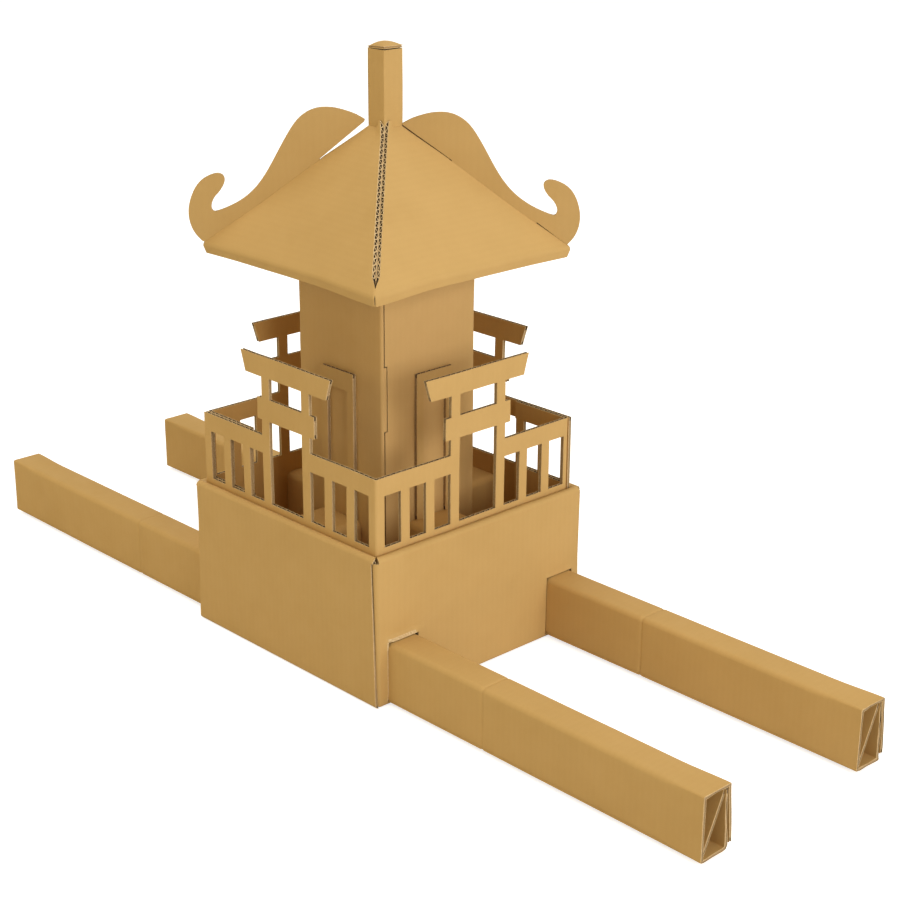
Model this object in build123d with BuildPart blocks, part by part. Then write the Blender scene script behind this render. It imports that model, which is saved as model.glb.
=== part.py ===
from build123d import *
import math
import os

# A portable shrine of corrugated board: a tray with two carrying poles through it,
# a low railing with a gate on each side, a square tower and a hipped roof.
# Frame: origin on the floor under the middle of the tray, X along the poles, Z up.
# All sizes are in millimetres.

# Driving dimensions
board = 3.2
soft_fold = 2.4
crease_depth = 0.5
crease_width = 1.0

tray_side = 242.0
tray_height = 133.0
rim_width = 8.2

pole_length = 900.0
pole_width = 30.6
pole_height = 54.2
pole_spacing = 186.6
pole_crease_x = 230.0
hole_clearance = 0.9

railing_side = 225.2
railing_top = 197.0
rail_height = 15.7
sill_top = 137.0
gate_post_outer = 31.0
gate_post_inner = 21.3
opening_width = 18.1
baluster_width = 9.2
glue_flap_start = 51.0

gate_top = 266.5
top_beam_height = 18.0
top_beam_half_upper = 58.3
top_beam_half_lower = 52.5
tie_beam_top = 230.0
tie_beam_bottom = 211.0
tie_beam_half = 37.0

tower_side = 106.4
walkway_top = 119.5
walkway_width = 50.8

door_width = 41.0
door_jamb = 7.5
door_top = 250.0
door_header = 16.0
door_shift_east = 3.7

eave_half = 108.4
eave_height = 347.0
eave_bottom = 339.0
eave_tuck = 2.2
roof_apex = 461.0

finial_side = 19.6
finial_bottom = 425.0
finial_top = 511.6
finial_lid_peak = 516.6

# Derived heights and slopes
half = tray_side / 2
rim_inner = half - rim_width
deck_bottom = board + pole_height
deck_top = deck_bottom + board
railing_half = railing_side / 2
tower_half = tower_side / 2
roof_slope = (roof_apex - eave_height) / eave_half
roof_lean = math.hypot(1, roof_slope)
inner_apex = roof_apex - board * roof_lean
tower_top = inner_apex - roof_slope * tower_half
ridge_slope = roof_slope / math.sqrt(2)

os.makedirs("parts", exist_ok=True)


# Tray: bottom and four walls, each rolled over at the top and back down inside
corner_hole = 5.6
corner_hole_depth = 15.0
skin = 1.6
seam_x = half - 5.6
pole_hole_width = pole_width + 2 * hole_clearance
pole_hole_height = pole_height + 2 * hole_clearance

with BuildPart() as base_box:
    with BuildSketch(Plane.XY):
        RectangleRounded(tray_side, tray_side, soft_fold)
    extrude(amount=tray_height)
    with BuildSketch(Plane.XY.offset(board)):
        Rectangle(2 * rim_inner, 2 * rim_inner)
    extrude(amount=tray_height, mode=Mode.SUBTRACT)
    fillet(base_box.faces().sort_by(Axis.Z)[-1].outer_wire().edges(), soft_fold)
    fillet(base_box.faces().sort_by(Axis.Z)[-1].inner_wires()[0].edges(), soft_fold)

    # gap between the two layers of each wall
    with BuildSketch(Plane.XY.offset(board)):
        Rectangle(2 * (half - board), 2 * (half - board))
        Rectangle(2 * (rim_inner + board), 2 * (rim_inner + board), mode=Mode.SUBTRACT)
    extrude(amount=tray_height - 2 * board, mode=Mode.SUBTRACT)

    # the rolled rims stop short of each corner and leave their ends open
    corner_hole_centre = half - skin - corner_hole / 2
    with BuildSketch(Plane.XY.offset(tray_height - corner_hole_depth)):
        with GridLocations(2 * corner_hole_centre, 2 * corner_hole_centre, 2, 2):
            Rectangle(corner_hole, corner_hole)
    extrude(amount=corner_hole_depth, mode=Mode.SUBTRACT)

    # cut ends of the two walls that close over the corner flaps
    with BuildSketch(Plane.XY):
        with GridLocations(2 * seam_x, tray_side, 2, 2):
            Rectangle(crease_width, 2 * skin)
    extrude(amount=tray_height, mode=Mode.SUBTRACT)

    # holes for the poles, through both layers of the two end walls
    with BuildSketch(Plane.YZ):
        with Locations((0, board + pole_hole_height / 2)):
            with GridLocations(pole_spacing, 0, 2, 1):
                RectangleRounded(pole_hole_width, pole_hole_height, 1)
    extrude(amount=tray_side, both=True, mode=Mode.SUBTRACT)
base_box.part.label = "base_box"
export_step(base_box.part, "parts/base_box.step")


# Inner deck: a loose board on the poles that carries the railing and the tower
deck_side = 2 * rim_inner - 0.8
with BuildPart() as deck:
    with BuildSketch(Plane.XY.offset(deck_bottom)):
        Rectangle(deck_side, deck_side)
    extrude(amount=board)
deck.part.label = "deck"
export_step(deck.part, "parts/deck.step")


# Poles: one folded strip each, wrapped round a diagonal web, with an outer flap on the +Y side
flap_gap = 0.5
flap_bottom = 0.15 * pole_height
web_length = math.hypot(pole_width - 3 * board, pole_height - 2 * board)
web_angle = math.degrees(math.atan2(pole_height - 2 * board, pole_width - 3 * board))

for name, side in (("pole_near", -1), ("pole_far", 1)):
    centre_y = side * pole_spacing / 2
    section_plane = Plane(origin=(-pole_length / 2, centre_y, board), x_dir=(0, 1, 0), z_dir=(1, 0, 0))
    left = -pole_width / 2
    with BuildPart() as pole:
        with BuildSketch(section_plane) as pole_section:
            with Locations((left, 0)):
                Rectangle(board, pole_height, align=(Align.MIN, Align.MIN))
                Rectangle(pole_width - board - flap_gap, board, align=(Align.MIN, Align.MIN))
            with Locations((left, pole_height)):
                Rectangle(pole_width, board, align=(Align.MIN, Align.MAX))
            with Locations((-left - board - flap_gap, 0)):
                Rectangle(board, pole_height - board - flap_gap, align=(Align.MAX, Align.MIN))
            with Locations((-left, pole_height)):
                Rectangle(board, pole_height - flap_bottom, align=(Align.MAX, Align.MAX))
            with Locations(Location((-board / 2, pole_height / 2), web_angle)):
                Rectangle(web_length, board)
            outer_corners = pole_section.vertices().group_by(Axis.Y)[-1]
            outer_corners += pole_section.vertices().group_by(Axis.Y)[0]
            fillet(outer_corners, soft_fold)
        extrude(amount=pole_length)

        # score lines where the flat strip was folded for packing
        with BuildSketch(section_plane.offset(pole_length / 2 - pole_crease_x)):
            with Locations((0, pole_height / 2)):
                Rectangle(pole_width, pole_height)
                Rectangle(pole_width - 2 * crease_depth, pole_height - 2 * crease_depth, mode=Mode.SUBTRACT)
        extrude(amount=crease_width, mode=Mode.SUBTRACT)
        with BuildSketch(section_plane.offset(pole_length / 2 + pole_crease_x - crease_width)):
            with Locations((0, pole_height / 2)):
                Rectangle(pole_width, pole_height)
                Rectangle(pole_width - 2 * crease_depth, pole_height - 2 * crease_depth, mode=Mode.SUBTRACT)
        extrude(amount=crease_width, mode=Mode.SUBTRACT)
    pole.part.label = name
    export_step(pole.part, f"parts/{name}.step")


# Railing: two L-shaped sheets, each with two gates, glued to each other by a flap
baluster_pitch = opening_width + baluster_width
opening_height = railing_top - rail_height - sill_top
gate_post_width = gate_post_outer - gate_post_inner
gate_post_centre = (gate_post_outer + gate_post_inner) / 2
gate_post_height = gate_top - top_beam_height - sill_top


def railing_panel(plane, start, end):
    """Skirt, balusters and top rail of one side, in its own plane."""
    with BuildSketch(plane) as panel:
        with Locations(((start + end) / 2, (deck_top + railing_top) / 2)):
            Rectangle(end - start, railing_top - deck_top)
        for sign in (-1, 1):
            for i in range(3):
                centre = gate_post_outer + opening_width / 2 + i * baluster_pitch
                with Locations((sign * centre, sill_top + opening_height / 2)):
                    Rectangle(opening_width, opening_height, mode=Mode.SUBTRACT)
    return panel.sketch


def gate_gap(plane):
    """The break in the railing where the gate stands."""
    with BuildSketch(plane) as gap:
        with Locations((0, sill_top)):
            Rectangle(2 * gate_post_outer, railing_top, align=(Align.CENTER, Align.MIN))
    return gap.sketch


def gate(plane):
    """Two posts with a tie beam and a top beam whose ends slant."""
    with BuildSketch(plane) as frame:
        with Locations((0, sill_top)):
            with GridLocations(2 * gate_post_centre, 0, 2, 1):
                Rectangle(gate_post_width, gate_post_height, align=(Align.CENTER, Align.MIN))
        with Locations((0, tie_beam_bottom)):
            Rectangle(2 * tie_beam_half, tie_beam_top - tie_beam_bottom, align=(Align.CENTER, Align.MIN))
        with BuildLine():
            Polyline(
                (-top_beam_half_upper, gate_top),
                (top_beam_half_upper, gate_top),
                (top_beam_half_lower, gate_top - top_beam_height),
                (-top_beam_half_lower, gate_top - top_beam_height),
                close=True,
            )
        make_face()
    return frame.sketch


south_plane = Plane(origin=(0, -railing_half, 0), x_dir=(1, 0, 0), z_dir=(0, -1, 0))
east_plane = Plane(origin=(railing_half, 0, 0), x_dir=(0, 1, 0), z_dir=(1, 0, 0))
flap_plane = Plane(origin=(0, railing_half - board, 0), x_dir=(1, 0, 0), z_dir=(0, -1, 0))

with BuildPart() as railing_front:
    for plane, end in ((south_plane, railing_half), (east_plane, railing_half - board)):
        extrude(railing_panel(plane, -railing_half, end), amount=-board)
    for plane in (south_plane, east_plane):
        extrude(gate_gap(plane), amount=-board, mode=Mode.SUBTRACT)
        extrude(gate(plane), amount=-board)
    # glue flap, the end of the east side folded in at the corner
    extrude(railing_panel(flap_plane, glue_flap_start, railing_half), amount=board)
    corner_fold = railing_front.edges().filter_by(Axis.Z).filter_by(
        lambda edge: edge.center().X > railing_half - 0.1 and edge.center().Y < 0.1 - railing_half
    )
    fillet(corner_fold, soft_fold)
railing_front.part.label = "railing_front"
export_step(railing_front.part, "parts/railing_front.step")

railing_back_part = railing_front.part.rotate(Axis.Z, 180)
railing_back_part.label = "railing_back"
export_step(railing_back_part, "parts/railing_back.step")


# Walkways: a folded channel from each gate to the tower
walkway_length = railing_half - board - tower_half - 0.4
walkway_height = walkway_top - deck_top
side_names = ("east", "north", "west", "south")

for i, side_name in enumerate(side_names):
    side_plane = Plane.YZ.rotated((0, 0, 90 * i)).offset(tower_half + 0.2)
    with BuildPart() as walkway:
        with BuildSketch(side_plane) as walkway_section:
            with Locations((0, deck_top)):
                Rectangle(walkway_width, walkway_height, align=(Align.CENTER, Align.MIN))
            fillet(walkway_section.vertices().group_by(Axis.Y)[-1], 2 * soft_fold)
        extrude(amount=walkway_length)
        with BuildSketch(side_plane) as walkway_hollow:
            with Locations((0, deck_top)):
                Rectangle(walkway_width - 2 * board, walkway_height - board, align=(Align.CENTER, Align.MIN))
            fillet(walkway_hollow.vertices().group_by(Axis.Y)[-1], 2 * soft_fold - board)
        extrude(amount=walkway_length, mode=Mode.SUBTRACT)
    walkway.part.label = f"walkway_{side_name}"
    export_step(walkway.part, f"parts/walkway_{side_name}.step")


# Door frames: a sheet with a doorway cut in it, on each face of the tower
for i, side_name in enumerate(side_names):
    face_plane = Plane.YZ.rotated((0, 0, 90 * i)).offset(tower_half)
    shift = door_shift_east if side_name == "east" else 0
    with BuildPart() as door_frame:
        with BuildSketch(face_plane):
            with Locations((shift, walkway_top)):
                Rectangle(door_width, door_top - walkway_top, align=(Align.CENTER, Align.MIN))
                Rectangle(
                    door_width - 2 * door_jamb,
                    door_top - door_header - walkway_top,
                    align=(Align.CENTER, Align.MIN),
                    mode=Mode.SUBTRACT,
                )
        extrude(amount=board)
    door_frame.part.label = f"door_frame_{side_name}"
    export_step(door_frame.part, f"parts/door_frame_{side_name}.step")


# Tower: one sheet wrapped into a square tube, joined at the front corner by a locking tab
tab_bottom = 206.0
tab_top = 263.0
tab_reach = 2.2
seam_y = -tower_half + board

with BuildPart() as tower:
    with BuildSketch(Plane.XY.offset(deck_top)):
        RectangleRounded(tower_side, tower_side, soft_fold / 2)
        Rectangle(tower_side - 2 * board, tower_side - 2 * board, mode=Mode.SUBTRACT)
    extrude(amount=tower_top - deck_top)
    # seam of the joint on the face beside the front corner
    with BuildSketch(Plane.YZ.offset(tower_half)):
        with BuildLine():
            Polyline(
                (seam_y, deck_top),
                (seam_y, tab_bottom),
                (seam_y + tab_reach, tab_bottom),
                (seam_y + tab_reach, tab_top),
                (seam_y, tab_top),
                (seam_y, tower_top),
                (seam_y + crease_width, tower_top),
                (seam_y + crease_width, tab_top + crease_width),
                (seam_y + tab_reach + crease_width, tab_top + crease_width),
                (seam_y + tab_reach + crease_width, tab_bottom - crease_width),
                (seam_y + crease_width, tab_bottom - crease_width),
                (seam_y + crease_width, deck_top),
                close=True,
            )
        make_face()
    extrude(amount=-skin, mode=Mode.SUBTRACT)
tower.part.label = "tower"
export_step(tower.part, "parts/tower.step")


# Roof: one sheet folded into four triangular faces, closed by an open joint on the front ridge
roof_taper = math.degrees(math.atan(1 / roof_slope))
lip_taper = math.degrees(math.atan(eave_tuck / (eave_height - eave_bottom)))
hatch_half = finial_side / 2 + 0.1
hatch_height = roof_apex - roof_slope * hatch_half
inner_lip_half = eave_half - eave_tuck - board
inner_eave_height = inner_apex - roof_slope * (eave_half - board)
inner_top_height = inner_apex - roof_slope * (hatch_half - board)
ridge_depth = board * roof_lean / math.hypot(1, ridge_slope) + 0.6
ridge_gap = 0.6
ridge_open_half = 2.3
ridge_open_height = 0.4
ridge_clear = 3.0
ridge_start = 12.0
ridge_end = 143.0
slot_start = 54.0
slot_end = 126.0
slot_width = board + 0.3
slot_depth = 12.0
diagonal = math.sqrt(2)


def ridge_height(distance):
    """Height of a ridge at a distance from the middle along the diagonal."""
    return roof_apex - ridge_slope * distance


with BuildPart() as roof:
    with BuildSketch(Plane.XY.offset(eave_bottom)):
        Rectangle(2 * (eave_half - eave_tuck), 2 * (eave_half - eave_tuck))
    extrude(amount=eave_height - eave_bottom, taper=-lip_taper)
    with BuildSketch(Plane.XY.offset(eave_height)):
        Rectangle(2 * eave_half, 2 * eave_half)
    extrude(amount=hatch_height - eave_height, taper=roof_taper)
    fillet(roof.edges().filter_by(Plane.XY).group_by(Axis.Z)[1], soft_fold)

    with BuildSketch(Plane.XY.offset(eave_bottom)):
        Rectangle(2 * inner_lip_half, 2 * inner_lip_half)
    extrude(amount=inner_eave_height - eave_bottom, taper=-lip_taper, mode=Mode.SUBTRACT)
    with BuildSketch(Plane.XY.offset(inner_eave_height)):
        Rectangle(2 * (eave_half - board), 2 * (eave_half - board))
    extrude(amount=inner_top_height - inner_eave_height, taper=roof_taper, mode=Mode.SUBTRACT)
    # square opening for the finial post
    with BuildSketch(Plane.XY.offset(finial_bottom)):
        Rectangle(2 * hatch_half, 2 * hatch_half)
    extrude(amount=roof_apex - finial_bottom, mode=Mode.SUBTRACT)

    # V-shaped joint between the square-cut edges of the two front faces
    ridge_plane = Plane(
        origin=(ridge_start / diagonal, -ridge_start / diagonal, ridge_height(ridge_start)),
        x_dir=(1, 1, 0),
        z_dir=(1, -1, -ridge_slope * diagonal),
    )
    with BuildSketch(ridge_plane):
        with BuildLine():
            Polyline(
                (-ridge_gap, -ridge_depth),
                (ridge_gap, -ridge_depth),
                (ridge_open_half, ridge_open_height),
                (ridge_open_half, ridge_clear),
                (-ridge_open_half, ridge_clear),
                (-ridge_open_half, ridge_open_height),
                close=True,
            )
        make_face()
    extrude(amount=(ridge_end - ridge_start) * math.hypot(1, ridge_slope), mode=Mode.SUBTRACT)

    # slots in the two side ridges for the curled ornaments
    with BuildSketch(Plane(origin=(0, 0, 0), x_dir=(1, 1, 0), z_dir=(1, -1, 0))):
        for sign in (-1, 1):
            with BuildLine():
                Polyline(
                    (sign * slot_start, ridge_height(slot_start) + slot_depth),
                    (sign * slot_end, ridge_height(slot_end) + slot_depth),
                    (sign * slot_end, ridge_height(slot_end) - slot_depth),
                    (sign * slot_start, ridge_height(slot_start) - slot_depth),
                    close=True,
                )
            make_face()
    extrude(amount=slot_width / 2, both=True, mode=Mode.SUBTRACT)
roof.part.label = "roof"
export_step(roof.part, "parts/roof.step")


# Curled ridge ornaments: flat cut-outs that stand on the side ridges, with a tab in the slot
ornament_tip = (14.6, 454.0)
crest_middle = (36.0, 460.2)
crest_end = (56.0, 459.8)
shoulder_radius = 21.0
shoulder_turn = -46.2
slope_length = 66.0
nose_start = (142.0, 375.2)
nose_radius = 1.8
nose_turn = 118.0
neck_middle = (139.6, 389.6)
neck_end = (134.6, 394.0)
curl_middle = (132.9, 401.2)
curl_end = (137.2, 406.3)
curl_outside = (158.6, 390.2)
curl_foot = (159.0, 357.4)
heel_middle = (155.9, 352.6)
heel_distance = 151.0
tab_depth = 4.2
tab_clearance = 0.5
ridge_lift = 0.8
tab_start = slot_start + tab_clearance
tab_end = slot_end - tab_clearance
heel = (heel_distance, ridge_height(heel_distance) + ridge_lift)

for name, sign in (("ridge_ornament_left", -1), ("ridge_ornament_right", 1)):
    ornament_plane = Plane(origin=(0, 0, 0), x_dir=(sign, sign, 0), z_dir=(sign, -sign, 0))
    with BuildPart() as ornament:
        with BuildSketch(ornament_plane):
            with BuildLine():
                crest = ThreePointArc(ornament_tip, crest_middle, crest_end)
                shoulder = JernArc(crest @ 1, crest % 1, shoulder_radius, shoulder_turn)
                slope = Line(shoulder @ 1, shoulder @ 1 + (shoulder % 1) * slope_length)
                bowl = TangentArc(slope @ 1, nose_start, tangent=slope % 1)
                nose = JernArc(bowl @ 1, bowl % 1, nose_radius, nose_turn)
                neck = ThreePointArc(nose @ 1, neck_middle, neck_end)
                curl = ThreePointArc(neck @ 1, curl_middle, curl_end)
                outside = ThreePointArc(curl @ 1, curl_outside, curl_foot)
                foot = ThreePointArc(outside @ 1, heel_middle, heel)
                Polyline(
                    foot @ 1,
                    (tab_end, ridge_height(tab_end) + ridge_lift),
                    (tab_end, ridge_height(tab_end) - tab_depth),
                    (tab_start, ridge_height(tab_start) - tab_depth),
                    (tab_start, ridge_height(tab_start) + ridge_lift),
                    (ornament_tip[0], ridge_height(ornament_tip[0]) + ridge_lift),
                    crest @ 0,
                )
            make_face()
        extrude(amount=board / 2, both=True)
    ornament.part.label = name
    export_step(ornament.part, f"parts/{name}.step")


# Finial: a square post folded from one strip, with its lid folded over the top
lid_board = 2.4
lid_free_edge = 1.2

with BuildPart() as finial_post:
    with BuildSketch(Plane.XY.offset(finial_bottom)):
        RectangleRounded(finial_side, finial_side, soft_fold / 2)
        Rectangle(finial_side - 2 * board, finial_side - 2 * board, mode=Mode.SUBTRACT)
    extrude(amount=finial_top - finial_bottom)
    # lid that arches from its fold on the -X side and stays a little open on the +X side
    with BuildSketch(Plane.XZ):
        with BuildLine():
            lid_top = ThreePointArc(
                (-finial_side / 2, finial_top - lid_board),
                (0, finial_lid_peak),
                (finial_side / 2, finial_top + lid_free_edge + lid_board),
            )
            edge = Line(lid_top @ 1, (finial_side / 2, finial_top + lid_free_edge))
            lid_under = ThreePointArc(
                edge @ 1,
                (0, finial_lid_peak - lid_board),
                (lid_board - finial_side / 2, finial_top - lid_board),
            )
            Line(lid_under @ 1, lid_top @ 0)
        make_face()
    extrude(amount=finial_side / 2 - soft_fold / 4, both=True)
finial_post.part.label = "finial_post"
export_step(finial_post.part, "parts/finial_post.step")
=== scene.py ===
import math
from functools import partial
import bpy
from mathutils import Matrix, Vector, geometry, noise


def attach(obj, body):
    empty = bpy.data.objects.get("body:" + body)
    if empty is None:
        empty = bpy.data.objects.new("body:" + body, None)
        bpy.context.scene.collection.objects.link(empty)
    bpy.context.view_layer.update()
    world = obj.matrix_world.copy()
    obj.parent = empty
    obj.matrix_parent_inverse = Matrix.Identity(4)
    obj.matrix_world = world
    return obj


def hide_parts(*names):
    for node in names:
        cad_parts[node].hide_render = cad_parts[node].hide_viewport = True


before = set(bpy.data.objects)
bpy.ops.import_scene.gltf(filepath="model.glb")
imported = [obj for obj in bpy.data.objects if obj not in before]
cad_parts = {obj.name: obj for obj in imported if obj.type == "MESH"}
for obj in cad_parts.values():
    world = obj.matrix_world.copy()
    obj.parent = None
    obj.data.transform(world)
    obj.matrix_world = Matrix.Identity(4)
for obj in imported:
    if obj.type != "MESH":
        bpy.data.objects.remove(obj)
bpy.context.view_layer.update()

# All sizes are in millimetres, and meshes are written in metres.
MM = 0.001
BOARD, LINER = 3.2, 0.55
# length of one flute, and how far an open edge can be looked into
PITCH, OPEN_DEPTH = 5.9, 3.4


# Materials
def new_material(name):
    material = bpy.data.materials.new(name)
    material.use_nodes = True
    tree = material.node_tree
    tree.nodes.clear()
    return material, tree


def add(tree, kind, **values):
    node = tree.nodes.new(kind)
    for key, value in values.items():
        setattr(node, key, value)
    return node


def put(node, **sockets):
    for key, value in sockets.items():
        node.inputs[key].default_value = value
    return node


def math_node(tree, operation, a, b=None):
    node = add(tree, "ShaderNodeMath", operation=operation)
    for index, value in enumerate((a, b)):
        if value is None:
            continue
        if isinstance(value, (int, float)):
            node.inputs[index].default_value = value
        else:
            tree.links.new(value, node.inputs[index])
    return node.outputs[0]


def ramp(tree, source, stops):
    """A colour ramp over a value. stops: position and colour."""
    node = add(tree, "ShaderNodeValToRGB")
    elements = node.color_ramp.elements
    while len(elements) < len(stops):
        elements.new(0.5)
    for element, (position, colour) in zip(elements, stops):
        element.position = position
        element.color = (*colour, 1)
    tree.links.new(source, node.inputs[0])
    return node.outputs[0]


def finish_tree(tree, shader, kind="Material"):
    tree.links.new(shader.outputs[0], add(tree, "ShaderNodeOutput" + kind).inputs[0])


def camera_sees(tree, seen, otherwise):
    """One shader for the camera's rays and another for the rest of the light."""
    mix = add(tree, "ShaderNodeMixShader")
    tree.links.new(add(tree, "ShaderNodeLightPath").outputs["Is Camera Ray"], mix.inputs[0])
    tree.links.new(otherwise.outputs[0], mix.inputs[1])
    tree.links.new(seen.outputs[0], mix.inputs[2])
    return mix


def new_object(name, data):
    obj = bpy.data.objects.new(name, data)
    bpy.context.scene.collection.objects.link(obj)
    return obj


def scaled(colour, *factors):
    return tuple(min(1.0, c * k) for c, k in zip(colour, factors))


def board_uv(tree):
    """The place on the flat sheet: X runs across the flutes, Y through an edge."""
    split = add(tree, "ShaderNodeSeparateXYZ")
    tree.links.new(add(tree, "ShaderNodeUVMap", uv_map="board").outputs[0], split.inputs[0])
    return split.outputs["X"], split.outputs["Y"]


def flute_turns(tree, distance):
    return math_node(tree, "MULTIPLY", distance, 2 * math.pi / (PITCH * MM))


def mixed(tree, source, colour, factor):
    mix = add(tree, "ShaderNodeMix", data_type="RGBA", blend_type="MIX")
    tree.links.new(factor, mix.inputs["Factor"])
    tree.links.new(source, mix.inputs["A"])
    mix.inputs["B"].default_value = (*colour, 1)
    return mix.outputs["Result"]


def finish_board(tree, tone, height, relief, gloss, **values):
    """The shader, bump and output that the board materials share."""
    bump = put(add(tree, "ShaderNodeBump"), Strength=relief[0], Distance=relief[1])
    tree.links.new(height, bump.inputs["Height"])
    shader = put(add(tree, "ShaderNodeBsdfPrincipled"), **values)
    shader.inputs["Specular IOR Level"].default_value = gloss
    tree.links.new(tone, shader.inputs["Base Color"])
    tree.links.new(bump.outputs[0], shader.inputs["Normal"])
    finish_tree(tree, shader)
    return shader


def kraft(name, colour, banding=0.5, seed=0.0):
    """Kraft liner: fibre, blotches, and faint bands where the liner lies on the flutes."""
    material, tree = new_material(name)
    maths = partial(math_node, tree)
    link = tree.links.new
    across_flutes, _ = board_uv(tree)
    where = add(tree, "ShaderNodeTexCoord").outputs["Object"]

    def noise_of(scale, detail, rough, stretch=(1, 1, 1)):
        mapping = add(tree, "ShaderNodeMapping")
        mapping.inputs["Scale"].default_value = stretch
        mapping.inputs["Location"].default_value = (seed, seed * 0.7, seed * 1.3)
        link(where, mapping.inputs[0])
        node = put(add(tree, "ShaderNodeTexNoise"), Scale=scale, Detail=detail, Roughness=rough)
        link(mapping.outputs[0], node.inputs["Vector"])
        return node.outputs["Fac"]

    blotch = noise_of(14.0, 3.0, 0.55)
    cloud = noise_of(55.0, 4.0, 0.6)
    fibre = noise_of(900.0, 3.0, 0.7, (1, 1, 0.35))
    speck = noise_of(2600.0, 1.0, 0.5)

    wobble = maths("MULTIPLY", blotch, 3.0)
    ripple = maths("SINE", maths("ADD", flute_turns(tree, across_flutes), wobble))
    band = maths("MULTIPLY_ADD", ripple, 0.5)
    band.node.inputs[2].default_value = 0.5

    dark, light = scaled(colour, 0.97, 0.965, 0.95), scaled(colour, 1.02, 1.02, 1.03)
    brown, pale = scaled(colour, 0.62, 0.52, 0.42), scaled(colour, 1.18, 1.22, 1.35)
    tone = ramp(tree, blotch, ((0.33, dark), (0.5, colour), (0.68, light)))
    black, white = (0, 0, 0), (1, 1, 1)
    for spots, spot_colour, amount in (
        (ramp(tree, cloud, ((0.42, black), (0.72, white))), brown, 0.035),
        (ramp(tree, fibre, ((0.5, black), (0.78, white))), pale, 0.09),
        (ramp(tree, speck, ((0.68, black), (0.8, white))), brown, 0.10),
        (band, brown, 0.05 * banding),
    ):
        tone = mixed(tree, tone, spot_colour, maths("MULTIPLY", spots, amount))

    height = maths("MULTIPLY", band, banding * 0.9)
    for source, amount in ((fibre, 0.30), (cloud, 0.8)):
        height = maths("ADD", height, maths("MULTIPLY", source, amount))
    shader = finish_board(tree, tone, height, (0.35, 0.00016), 0.28)
    link(ramp(tree, cloud, ((0.3, (0.7, 0.7, 0.7)), (0.7, (0.86, 0.86, 0.86)))), shader.inputs["Roughness"])
    return material


EDGE_TONES = ((0.3, (0.48, 0.32, 0.15)), (0.5, (0.68, 0.48, 0.25)), (0.72, (0.80, 0.63, 0.38)))
# painted shade for the hollows between the flutes of a cut edge
EDGE_HOLE_SHADE = (0.10, 0.05, 0.02)


def cut_edge(name, flutes):
    """A knife-cut edge. With flutes it also shows the wave of the core between two liners, with painted shade
    in the hollows beside the wave.
    """
    material, tree = new_material(name)
    maths = partial(math_node, tree)
    across_flutes, depth = board_uv(tree)
    where = add(tree, "ShaderNodeTexCoord").outputs["Object"]
    grain = put(add(tree, "ShaderNodeTexNoise"), Scale=700.0, Detail=4.0, Roughness=0.7)
    tree.links.new(where, grain.inputs["Vector"])
    tone = ramp(tree, grain.outputs["Fac"], EDGE_TONES)
    if flutes:
        off_middle = maths("SUBTRACT", depth, 0.5)
        jitter = maths("MULTIPLY", grain.outputs["Fac"], 1.4)
        ripple = maths("SINE", maths("ADD", flute_turns(tree, across_flutes), jitter))
        core = maths("MULTIPLY", ripple, 0.30)
        gap = maths("ABSOLUTE", maths("SUBTRACT", off_middle, core))
        inside = maths("LESS_THAN", maths("ABSOLUTE", off_middle), 0.36)
        # the hollows beside the wave are painted dark, as shade
        hole = maths("MULTIPLY", maths("GREATER_THAN", gap, 0.13), inside)
        tone = mixed(tree, tone, EDGE_HOLE_SHADE, maths("MULTIPLY", hole, 0.85))
    finish_board(tree, tone, grain.outputs["Fac"], (0.6, 0.0003), 0.15, Roughness=0.9)
    return material


def core_paper(name, deep, pale):
    """The rough paper of the waves."""
    material, tree = new_material(name)
    shader = put(add(tree, "ShaderNodeBsdfPrincipled"), Roughness=0.95)
    grain = put(add(tree, "ShaderNodeTexNoise"), Scale=500.0, Detail=3.0)
    tone = ramp(tree, grain.outputs["Fac"], ((0.35, deep), (0.7, pale)))
    tree.links.new(tone, shader.inputs["Base Color"])
    finish_tree(tree, shader)
    return material


KRAFT = (0.60, 0.375, 0.135)


def tinted(*factors):
    return scaled(KRAFT, *factors)


edge_plain = cut_edge("edge_plain", False)
edge_fluted = cut_edge("edge_fluted", True)
core_open = core_paper("core_open", (0.34, 0.21, 0.095), (0.56, 0.39, 0.20))
# near-black core paper: painted shade for the cells between the liners
core_shade_painted = core_paper("core_inside", (0.055, 0.03, 0.012), (0.13, 0.075, 0.035))

# material slots of a piece, in the order in which Piece.build fills them; the last one is painted shade for
# the cavities inside the board
FACE, EDGE, CORE, INSIDE, FLUTED, PAINTED_SHADE = range(6)


# Mesh helpers
def grid(marks, step):
    """Lines at every mark, with others between them no further apart than the step."""
    places = sorted(set(round(p, 4) for p in marks))
    out = [places[0]]
    for a, b in zip(places, places[1:]):
        n = max(1, math.ceil((b - a) / step))
        out += [a + (b - a) * k / n for k in range(1, n + 1)]
    return out


def wave(x, y, z, scale, seed):
    """Slow unevenness of handled board."""
    return noise.noise(Vector((x / scale + seed, y / scale - seed, z / scale + 2 * seed)))


# how far the core stands back from a cut along the flutes, and the sizes used to find and fill the cuts
CORE_BACK, PROBE = 0.35, 0.05
SHORTEST_RIBBON, RIBBON_STEP = 2, 0.62
SHARP_ANGLE = math.radians(38)


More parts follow.
